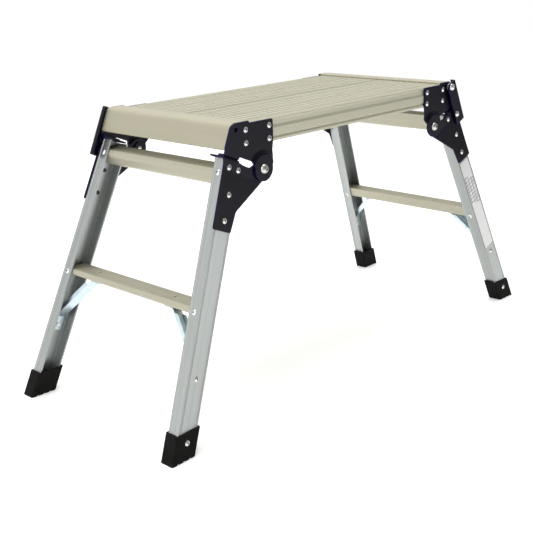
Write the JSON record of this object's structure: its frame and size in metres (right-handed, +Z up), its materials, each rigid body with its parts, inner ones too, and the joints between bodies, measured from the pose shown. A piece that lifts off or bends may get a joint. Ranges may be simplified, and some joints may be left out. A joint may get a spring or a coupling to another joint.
{
  "type": "folding work platform bench",
  "caption": "Low folding work platform with a ribbed deck on splayed ladder-style legs with steps, hinge brackets and rubber feet.",
  "frame": {"origin": "on the floor under the middle of the deck", "axes": "+X along the deck towards the end whose front leg carries the label, +Y across the deck away from that front side, +Z up"},
  "size_m": [1.0496, 0.4228, 0.5138],
  "materials": {
    "deck_aluminium": "champagne-tinted mill finish with fine extrusion lines",
    "step_aluminium": "ribbed mill finish",
    "rail_aluminium": "silvery mill finish with lengthwise lines",
    "bracket_paint": "dark navy powder coat, semi gloss",
    "brace_galvanised": "bluish zinc",
    "fastener_zinc": "bright zinc",
    "spring_steel": "bare wire",
    "washer_plastic": "natural nylon",
    "foot_rubber": "matte black",
    "label_film": "plain blank film"
  },
  "bodies": {
    "deck": {"plank_front": "deck_aluminium", "plank_rear": "deck_aluminium", "end_nose_left": "deck_aluminium", "end_nose_right": "deck_aluminium", "tie_left": "deck_aluminium", "tie_center": "deck_aluminium", "tie_right": "deck_aluminium", "tie_rivets": "fastener_zinc", "deck_bracket_front_left": "bracket_paint", "deck_bracket_front_right": "bracket_paint", "deck_bracket_rear_left": "bracket_paint", "deck_bracket_rear_right": "bracket_paint", "deck_rivets": "fastener_zinc", "hinge_bolts": "fastener_zinc", "hinge_collars": "bracket_paint", "hinge_washers": "washer_plastic", "lever_bolts": "fastener_zinc", "lever_nuts": "fastener_zinc", "lever_spacers": "washer_plastic", "lever_springs": "spring_steel"},
    "left_legs": {"left_rail_front": "rail_aluminium", "left_rail_rear": "rail_aluminium", "left_upper_step": "step_aluminium", "left_middle_step": "step_aluminium", "left_brace_front": "brace_galvanised", "left_brace_rear": "brace_galvanised", "left_leg_bracket_front": "bracket_paint", "left_leg_bracket_rear": "bracket_paint", "left_foot_front": "foot_rubber", "left_foot_rear": "foot_rubber", "left_bracket_rivets": "fastener_zinc", "left_step_rivets": "fastener_zinc", "left_brace_rivets": "fastener_zinc", "left_foot_rivets": "fastener_zinc"},
    "right_legs": {"right_rail_front": "rail_aluminium", "right_rail_rear": "rail_aluminium", "right_upper_step": "step_aluminium", "right_middle_step": "step_aluminium", "right_brace_front": "brace_galvanised", "right_brace_rear": "brace_galvanised", "right_leg_bracket_front": "bracket_paint", "right_leg_bracket_rear": "bracket_paint", "right_foot_front": "foot_rubber", "right_foot_rear": "foot_rubber", "right_bracket_rivets": "fastener_zinc", "right_step_rivets": "fastener_zinc", "right_brace_rivets": "fastener_zinc", "right_foot_rivets": "fastener_zinc", "right_label": "label_film"},
    "right_lever": {"lever_front_right": "bracket_paint", "catch_pin_front_right": "fastener_zinc"},
    "left_lever": {"lever_rear_left": "bracket_paint", "catch_pin_rear_left": "fastener_zinc"}
  },
  "joints": [
    {"name": "right_legs_fold", "type": "hinge", "parent": "deck", "child": "right_legs", "pos_m": [0.25, 0, 0.427], "axis": [0, 1, 0], "range_deg": [0, 120]},
    {"name": "left_legs_fold", "type": "hinge", "parent": "deck", "child": "left_legs", "pos_m": [-0.25, 0, 0.427], "axis": [0, -1, 0], "range_deg": [0, 107]},
    {"name": "right_lever_swing", "type": "hinge", "parent": "deck", "child": "right_lever", "pos_m": [0.308, 0, 0.5], "axis": [0, -1, 0], "range_deg": [0, 20], "stiffness_Nm_per_rad": 0.3},
    {"name": "left_lever_swing", "type": "hinge", "parent": "deck", "child": "left_lever", "pos_m": [-0.308, 0, 0.5], "axis": [0, 1, 0], "range_deg": [0, 20], "stiffness_Nm_per_rad": 0.3}
  ]
}
